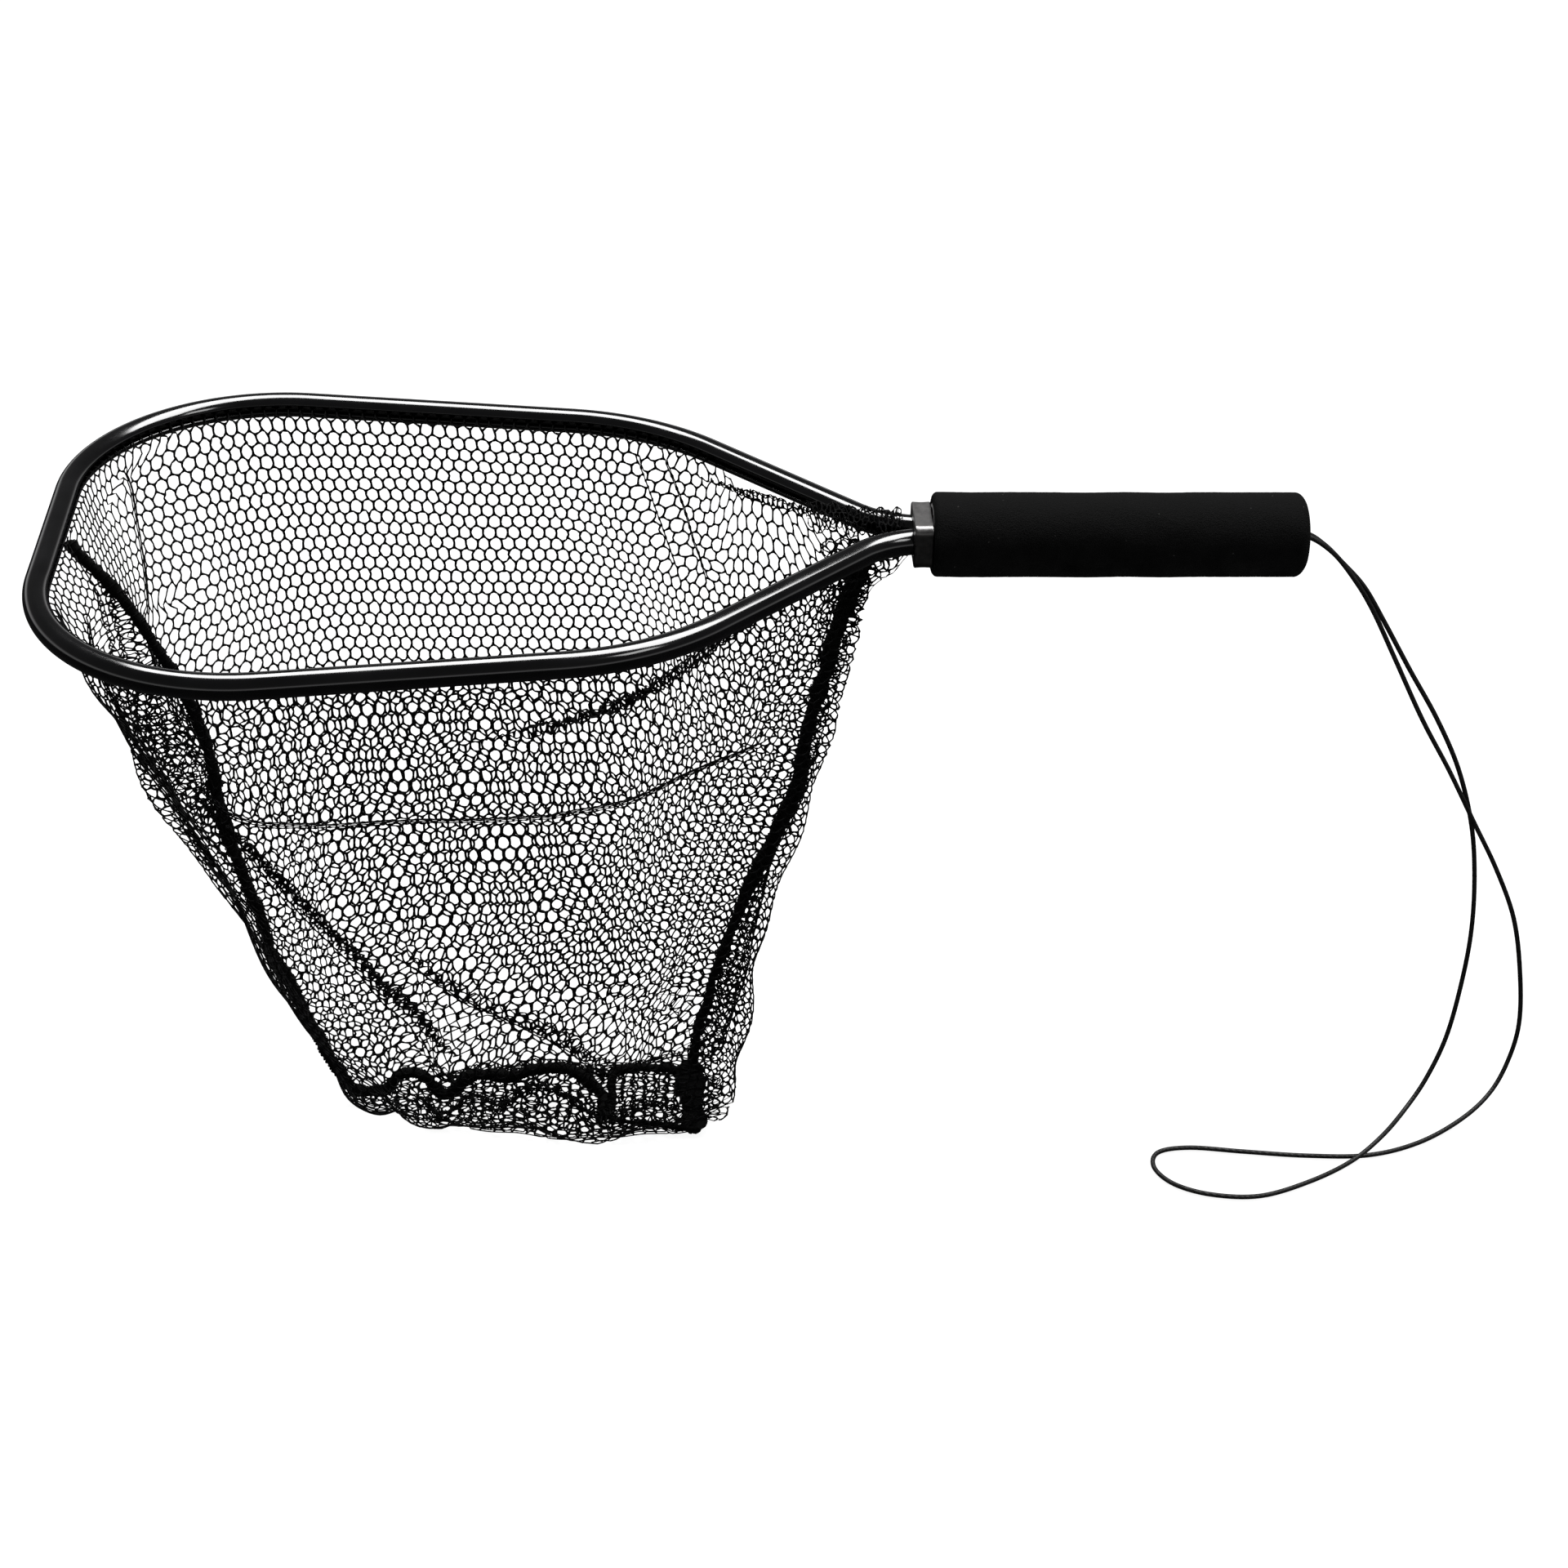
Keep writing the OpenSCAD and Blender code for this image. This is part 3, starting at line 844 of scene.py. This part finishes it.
class Crease:
    """A line in the sheet that gathers the mesh within size of it.

    Its points are (s, q) of the sheet. With turns just under 1 the gathered mesh closes up to a thin
    line; with turns 2 it lies folded in three. lift raises it off the sheet, and it fades out over
    the share taper of its length at each end.
    """

    # the layers of a fold lie this far apart
    LAYER = 0.7
    # in sizes from the line: where the mesh starts to move, and over how many sizes it comes to full
    FAR, EASE = 6, 4.5

    def __init__(self, line, turns, size, lift, taper=0.2):
        self.line = smooth_path(line, 6)
        self.turns, self.size, self.lift, self.taper = turns, size, lift, taper

    def apply(self, s, q):
        """Where the points of the sheet move to, and how far they lift off it."""
        p = np.stack([s, q], -1)
        length = running(self.line)
        best = np.full(len(p), 1e9)
        foot = np.zeros_like(p)
        share = np.zeros(len(p))
        for a, b, l0, l1 in zip(self.line, self.line[1:], length, length[1:]):
            t = np.clip(((p - a) @ (b - a)) / ((b - a) @ (b - a)), 0, 1)
            at = a + t[:, None] * (b - a)
            d = np.linalg.norm(p - at, axis=1)
            near = d < best
            best[near], foot[near] = d[near], at[near]
            share[near] = (l0 + t[near] * (l1 - l0)) / length[-1]
        fade = np.clip(np.minimum(share, 1 - share) / self.taper, 0, 1)
        fade = fade * fade * (3 - 2 * fade)
        size = self.size * fade + 1e-6
        decay = np.clip((self.FAR - best / size) / self.EASE, 0, 1)
        shift = np.minimum(self.turns * best, size) * decay
        moved = foot + (p - foot) * (1 - shift / np.maximum(best, 1e-6))[:, None]
        tangent = unit(self.line[-1] - self.line[0])
        signed = (p - foot) @ np.array([-tangent[1], tangent[0]])
        layers = self.LAYER * (self.turns - 1) * np.clip(2 * signed / size, -1, 1) * decay
        lift = self.lift * np.clip(1 - best / size, 0, 1) + layers
        return moved[:, 0], moved[:, 1], lift * fade


def billow(s, q, seed, size):
    """Slow waves over the sheet: nine of random length, heading and start."""
    draw = np.random.default_rng(seed)
    out = np.zeros(len(s))
    for _ in range(9):
        wave = draw.uniform(40, 110)
        turn = draw.uniform(0, 2 * math.pi)
        along = s * math.cos(turn) + q * math.sin(turn)
        out += np.sin(2 * math.pi / wave * along + draw.uniform(0, 6.3))
    return size * out / 3


# ---- Bag: the netting ----

# Cells stand PITCH apart in a row and the rows ROW apart. FIRST_ROW is the first row's depth.
PITCH, ROW = 5.25, 4.75
FIRST_ROW = 1.8
# A cell's corners and the middles of its sides, in quarters of the pitch and sixths of a row.
CELL_HALF = [(0, -4), (1, -3), (2, -2), (2, 0), (2, 2), (1, 3)]
CELL = np.array(CELL_HALF + [(-x, -y) for x, y in CELL_HALF])
# Half widths of the yarn on the upright and slanted sides and at the knots, and half its height.
STRAND_UP, STRAND_ACROSS, STRAND_KNOT, STRAND_H = 0.45, 0.37, 0.70, 0.30
# In a gathered cell the rings stop at this share of the way to the middle, so that it stays open.
FULLEST_RING = 0.93
# Height of the lowest yarn's middle above the bag's full depth.
LOWEST_YARN = 0.2


def strands(rows, cols, keep, place, jitter=0.16):
    """Hexagonal mesh as real yarn.

    Every cell of rows x cols that keep(s, q) accepts is outlined by a ridge above and below the
    sheet, shared with its neighbours, and a rounded ring inside the cell. place(s, q) gives points
    and normals on the sheet.
    """
    r, c = (a.ravel() for a in np.meshgrid(rows, cols, indexing="ij"))
    wanted = keep((c + 0.5 * (r & 1)) * PITCH, r * ROW + FIRST_ROW)
    r, c = r[wanted], c[wanted]
    keys = np.stack([4 * c + 2 * (r & 1), 6 * r], -1)[:, None] + CELL
    keys, ids = np.unique(keys.reshape(-1, 2), axis=0, return_inverse=True)
    ids = ids.reshape(-1, 12)
    shake = rng.normal(0, jitter, keys.shape).clip(-0.5, 0.5)
    s, q = (keys * (PITCH / 4, ROW / 6) + shake).T
    points, normals = place(s, q + FIRST_ROW)
    corner = points[ids[:, ::2]]
    inward = corner.mean(1)[:, None] - points[ids]
    gap = np.linalg.norm(inward, axis=-1)
    width = np.tile([STRAND_KNOT, STRAND_ACROSS, STRAND_KNOT, STRAND_UP, STRAND_KNOT, STRAND_ACROSS], 2)
    reach = np.minimum(width, FULLEST_RING * gap) / np.maximum(gap, 1e-6)
    ring = points[ids] + inward * reach[..., None]
    rise = STRAND_H * normals
    n, m = len(points), len(ids)
    verts = np.vstack([points + rise, points - rise, ring.reshape(-1, 3)])

    # faces: over and under the sheet, and a wall where a strand has no neighbour
    after = np.roll(ids, -1, 1)
    inner = 2 * n + np.arange(12 * m).reshape(m, 12)
    inner_after = np.roll(inner, -1, 1)
    over = np.stack([ids, after, inner_after, inner], -1).reshape(-1, 4)
    under = np.stack([ids + n, inner, inner_after, after + n], -1).reshape(-1, 4)
    edge = ids.ravel() * n + after.ravel()
    lone = ~np.isin(after.ravel() * n + ids.ravel(), edge)
    a, b = ids.ravel()[lone], after.ravel()[lone]
    wall = np.stack([b, a, a + n, b + n], -1)
    return verts, np.vstack([over, under, wall]).tolist()


NEAR_CREASES = [
    Crease([(120, 61), (174, 66), (235, 74), (283, 72), (344, 75), (372, 78)], 0.89, 9.0, 0.4, 0.05),
    Crease([(108, 54), (128, 74), (153, 99), (174, 127), (197, 166), (219, 207)], 2, 11.0, 1.2, 0.2),
    Crease([(110, 60), (130, 80), (153, 103), (174, 131), (197, 170), (219, 211)], 2, 5.0, 0.8, 0.2),
    Crease([(122, 86), (146, 110), (167, 138), (190, 177), (212, 217)], 0.87, 4.0, 0.4, 0.2),
    Crease([(190, 125), (214, 146), (239, 168), (266, 188), (294, 215)], 2, 9.0, 1.2, 0.3),
    Crease([(186, 131), (210, 152), (236, 175), (262, 196), (290, 224)], 0.87, 4.6, 0.4, 0.2),
    Crease([(228, 38), (275, 34), (309, 24), (348, 18), (386, 11)], 2, 9.0, 1.2, 0.35),
    Crease([(245, 34), (285, 30), (315, 22), (348, 18), (386, 11)], 2, 5.0, 0.8, 0.35),
    Crease([(26, 20), (48, 40), (66, 76), (84, 118), (100, 160)], 2, 9.0, 1.2),
    Crease([(30, 24), (48, 44), (66, 80), (84, 122), (98, 158)], 2, 5.0, 0.8),
    Crease([(152, 286), (180, 298), (215, 303), (250, 305), (282, 300)], 2, 9.0, 0.8),
    Crease([(152, 290), (180, 302), (215, 307), (250, 308), (282, 304)], 2, 6.0, 0.6),
    Crease([(165, 308), (200, 317), (235, 318), (272, 314)], 2, 6.0, 0.5),
    Crease([(190, 296), (215, 312), (240, 306), (262, 296)], 2, 7.0, 0.6),
]
FAR_CREASES = [
    Crease([(72, 10), (74, 23), (68, 45), (61, 66)], 0.88, 6.5, 0.4, 0.1),
    Crease([(314, 2), (332, 31), (348, 58)], 0.88, 4.2, 0.4, 0.25),
    Crease([(300, 5), (316, 33), (332, 60)], 0.88, 3.2, 0.4, 0.25),
    Crease([(330, 13), (352, 10), (370, 8), (392, 7), (412, 2)], 2, 9.0, 1.2, 0.4),
    Crease([(342, 12), (356, 10), (372, 8), (394, 6), (412, 2)], 2, 5.0, 0.8, 0.4),
    Crease([(50, 60), (66, 105), (84, 150)], 2, 8.0, 1.0),
    Crease([(158, 292), (180, 302), (215, 306), (250, 308), (276, 306)], 2, 9.0, 0.8),
    Crease([(160, 300), (180, 308), (215, 313), (250, 314), (276, 310)], 2, 6.0, 0.6),
]


def neck_flap(side):
    """The loose corner of the panel that hangs below the tubes, past the neck seam."""
    start_x, top_z, over = -112, -3.5, 2.5
    off_plane, bulge, ripple = 1.4, 3.2, 1.2

    def hem(a):
        return np.interp(a, (0, 4, 9, 17, 26, 31, 34), (52, 45, 31, 19.5, 11, 5, 1))

    def place(a, b):
        x, z = start_x + a, top_z - np.minimum(b, hem(a))
        round_out = np.sin(math.pi * (b / hem(a)).clip(0, 1))
        y = side * (off_plane + bulge * round_out) + ripple * np.sin(x / 3 + z / 4)
        return np.stack([x, y, z], -1), np.tile((0.0, side, 0.0), (len(a), 1))

    return strands(np.arange(11), np.arange(7), lambda a, b: b < hem(a) + over, place, jitter=0.3)


def bag_floor(side):
    """Slack mesh that lies crumpled on the ground inside the bag, each panel's turned its own way."""
    turn = 0.5 * side
    middle_x, half_l, back_share, over = -229, 77, 0.8, 1.5
    height, crumple = 2.2, 1.1

    def spread(a, b):
        a, b = a - 80, b - 30
        return a * math.cos(turn) - b * math.sin(turn) - 222, a * math.sin(turn) + b * math.cos(turn) - 6

    def edge(x):
        return np.interp(x, (-306, -290, -267, -215, -180, -163, -146), (2, 10, 20, 29, 27, 23, 8))

    def place(a, b):
        x, y = spread(a, b)
        y = np.clip(y, -edge(x), back_share * edge(x))
        waves = np.sin(x / 7 + y / 4) * np.sin(y / 5 - x / 11)
        z = -BAG_DEPTH + height + crumple * waves + 0.5 * side
        return np.stack([x, y, z], -1), np.tile((0.0, 0.0, 1.0), (len(a), 1))

    def inside(a, b):
        x, y = spread(a, b)
        across = (y > -edge(x) - over) & (y < back_share * edge(x) + over)
        return (np.abs(x - middle_x) < half_l) & across

    return strands(np.arange(-10, 26), np.arange(-6, 38), inside, place, jitter=0.3)


def neck_bunch(side):
    """Mesh gathered over the tube by the collar: squeezed along X and wrapped round the leg."""
    start_x, squeeze, wrap = -119, 0.42, 3.6
    off_middle = TUBE_R + 1.6

    def place(a, b):
        x = start_x + squeeze * a
        turn = side * (b / 34 - 0.5) * wrap + 0.3 * np.sin(a / 5)
        leg = np.interp(x, (-130, -110, -95, -84), (17.0, 10.0, 6.2, NECK_Y))
        reach = off_middle + 0.9 * np.sin(a / 2.3 + b / 3) + 0.7 * np.sin(b / 1.9)
        out = np.stack([0 * x, -side * np.sin(turn), np.cos(turn)], -1)
        centre = np.stack([x, side * leg, 0 * x], -1)
        return centre + out * reach[:, None], out

    return strands(np.arange(7), np.arange(16), lambda a, b: a > -1, place, jitter=0.4)


def make_panel(name, side, creases, seed, node):
    """One panel of the bag, with the loose mesh that belongs to it."""
    sheet = Sheet(side)

    def place(a, b):
        s, q = sheet.find(a, b)
        lift = np.zeros(len(s))
        for crease in creases:
            s, q, more = crease.apply(s, q)
            lift += more
        depth = sheet.reach(s)
        free = np.clip(q / 30, 0, 1) * np.clip((depth - q) / 25, 0, 1)
        lift += billow(s, q, seed, 2.0) * free
        points = sheet.look_up(sheet.table, s, q)
        normals = unit(sheet.look_up(sheet.normal, s, q))
        points = points + normals * lift[:, None]
        points[:, 2] = np.maximum(points[:, 2], -BAG_DEPTH + LOWEST_YARN)
        return points, normals

    def keep(a, b):
        s, q = sheet.find(a, b)
        return (s > 0) & (s < sheet.length) & (q < sheet.reach(s) + 1.0)

    rows = np.arange(0, 72)
    cols = np.arange(-1, 88)
    loose = [neck_flap(side), bag_floor(side)] + ([neck_bunch(side)] if side > 0 else [])
    panel = piece(name, joined(strands(rows, cols, keep, place), *loose), "netting", node, outward=False)


make_panel("near_netting", -1, NEAR_CREASES, 3, "near_net_panel")
make_panel("far_netting", 1, FAR_CREASES, 5, "far_net_panel")


# ---- Bindings ----


def strap(path, side, widths, depths, seed):
    """A folded, overlocked edge along a path: a lumpy band with the thread wrapped round it.

    widths and depths are tables over the share of the path's length.
    """
    draw = np.random.default_rng(seed)
    step, thread_pitch, thread_r = 0.8, 1.9, 0.27
    path = even_path(smooth_path(path, 10), step)
    n = len(path)
    share = np.linspace(0, 1, n)
    wander = blurred(draw.normal(0, 1.6, (n, 3)), 5)
    wander *= np.clip(np.minimum(share, 1 - share) * 12, 0, 1)[:, None]
    path = path + wander
    across, over = carried_frames(path, side)
    lumps = 1 + blurred(draw.normal(0, 0.35, (n, 2)), 2.5)
    w = np.interp(share, *widths) / 2 * lumps[:, 0]
    h = np.interp(share, *depths) / 2 * lumps[:, 1]
    ends = np.sqrt(np.clip(np.minimum(share, 1 - share) * n / 3, 0.05, 1))
    w, h = w * ends, h * ends

    def around(i, a, grow):
        """Points at the angles a round the band at i, out by grow, with a fuzzy radius."""
        reach = 1 + draw.normal(0, 0.05, len(a))
        flat_cos = np.sign(np.cos(a)) * np.abs(np.cos(a)) ** 0.8
        wide = across[i] * (flat_cos * (w[i] + grow) * reach)[:, None]
        deep = over[i] * (np.sin(a) * (h[i] + grow) * reach)[:, None]
        return path[i] + wide + deep

    angles = np.arange(16) * math.pi / 8
    band = loft([around(i, angles, 0.0) for i in range(n)])
    wraps = []
    for i in np.arange(3, n - 6, thread_pitch / step).astype(int):
        lean = 3 if len(wraps) % 2 else -2
        a = np.linspace(0, 2 * math.pi, 13)[:-1]
        loop = []
        for k, angle in enumerate(a):
            j = int(np.clip(i + round(lean * abs(math.sin(angle / 2))), 0, n - 1))
            loop.append(around(j, np.array([angle]), 0.2)[0])
        loop = np.array(loop)
        ahead = unit(np.roll(loop, -1, 0) - np.roll(loop, 1, 0))
        out = unit(loop - loop.mean(0))
        out = unit(out - ahead * (out * ahead).sum(1, keepdims=True))
        other = np.cross(ahead, out)
        b = np.arange(5) * 2 * math.pi / 5
        rings = [
            p + thread_r * (np.outer(np.cos(b), o) + np.outer(np.sin(b), t))
            for p, o, t in zip(loop, out, other)
        ]
        wraps.append(loft(rings, ring_closed=True))
    return joined(band, *wraps)


def in_plane(points):
    """(X, Z) points in the plane Y = 0."""
    return [(x, 0.0, z) for x, z in points]


def make_bindings():
    """The three bound seams, and the short tail and fold that lie on the ground at the neck's foot."""
    tip = strap(
        in_plane(TIP_SEAM),
        (1, 0, 0.3),
        ((0, 0.3, 1), (4.2, 4.8, 5.2)),
        ((0, 1), (3.2, 3.4)),
        seed=11,
    )
    # the bottom seam dips out to the front in a small hook, in place of two of its points
    hook = [(-203, -5, -266), (-202, -16, -271.5), (-198, -10, -269), (-195, 0, -259)]
    lower = in_plane(BOTTOM_SEAM)
    lower = lower[:9] + hook + lower[11:]
    bottom = strap(lower, (0, 0, 1), ((0, 0.8, 1), (5, 5, 6)), ((0, 1), (3.6, 3.6)), seed=12)
    neck = strap(
        in_plane(NECK_SEAM),
        (1, 0, 0),
        ((0, 0.25, 0.45, 0.8, 1), (4, 3.2, 5.5, 5.5, 8)),
        ((0, 1), (3.5, 5)),
        seed=13,
    )
    piece("tip_binding", tip, "seam_binding", "tip_seam_binding")
    piece("bottom_binding", bottom, "seam_binding", "bottom_seam_binding")
    piece("neck_binding", neck, "seam_binding", "neck_seam_binding")
    tail = strap(
        [(-165, 0, -253), (-164, -9, -262), (-163, -19, -270), (-162, -25, -272)],
        (1, 0, 0),
        ((0, 0.3, 1), (9, 12, 10)),
        ((0, 1), (4, 3)),
        seed=14,
    )
    fold = strap(
        [(-203, -10, -270), (-199, -15, -272), (-184, -19, -272.3), (-170, -22, -272.3), (-160, -23, -272)],
        (0, 1, 0),
        ((0, 0.5, 1), (2, 2.6, 5)),
        ((0, 1), (1.4, 2)),
        seed=15,
    )
    piece("binding_tail", joined(tail, fold), "seam_binding")


make_bindings()
finish_cad_nodes()


# ---- Stage ----


def make_stage():
    """A plain pale floor, mostly its own light, just under the lowest point of the object."""
    mesh = bpy.data.meshes.new("floor")
    half, z = 60.0, cad_box[0][2] - 0.0003
    corners = [(x * half, y * half, z) for x, y in ((-1, -1), (1, -1), (1, 1), (-1, 1))]
    mesh.from_pydata(corners, [], [(0, 1, 2, 3)])
    n = Nodes("floor")
    n.surface(
        Base_Color=n.tones(n.noise(0.004), (0.3, grey(0.09)), (0.7, grey(0.11))),
        Roughness=0.9,
        Specular_IOR_Level=0.1,
        Emission_Color=(1, 1, 1, 1),
        Emission_Strength=0.93,
    )
    mesh.materials.append(n.mat)
    floor = bpy.data.objects.new("floor", mesh)
    scene.collection.objects.link(floor)
    # the dark studio, not the floor, shows in the gloss of the tube and the collar
    floor.visible_glossy = False


def area_light(name, at, aim, size, watts):
    """A rectangular lamp at a place in metres, facing the point aim."""
    data = bpy.data.lights.new(name, "AREA")
    data.shape = "RECTANGLE"
    data.size, data.size_y = size
    data.energy = watts
    light = bpy.data.objects.new(name, data)
    scene.collection.objects.link(light)
    light.location = at
    light.rotation_euler = (Vector(aim) - Vector(at)).to_track_quat("-Z", "Y").to_euler()


def make_lights():
    """A dim room with a pale horizon, a long soft box overhead and a small one at the front right."""
    world = bpy.data.worlds.new("studio")
    scene.world = world
    world.use_nodes = True
    tree = world.node_tree
    back = tree.nodes["Background"]
    coords = tree.nodes.new("ShaderNodeTexCoord")
    split = tree.nodes.new("ShaderNodeSeparateXYZ")
    # the height of the direction, -1 straight down and 1 straight up, as 0 to 1
    height = tree.nodes.new("ShaderNodeMapRange")
    height.inputs["From Min"].default_value = -1.0
    ramp = tree.nodes.new("ShaderNodeValToRGB")
    tree.links.new(coords.outputs["Generated"], split.inputs[0])
    tree.links.new(split.outputs["Z"], height.inputs["Value"])
    tree.links.new(height.outputs["Result"], ramp.inputs[0])
    tree.links.new(ramp.outputs[0], back.inputs["Color"])
    stops = ((0.0, 0.02), (0.46, 0.02), (0.48, 0.8), (0.53, 0.9), (0.6, 0.1), (1.0, 0.06))
    while len(ramp.color_ramp.elements) < len(stops):
        ramp.color_ramp.elements.new(0.5)
    for element, (at, level) in zip(ramp.color_ramp.elements, stops):
        element.position, element.color = at, (*grey(level), 1)
    back.inputs["Strength"].default_value = 1.0
    middle = (-0.15, 0, -0.05)
    area_light("overhead", (0.05, 0.55, 1.7), middle, (2.4, 1.0), 140)
    area_light("key", (0.9, -0.9, 1.5), middle, (0.5, 0.5), 6)
    scene.view_settings.view_transform = "Standard"


make_stage()
make_lights()
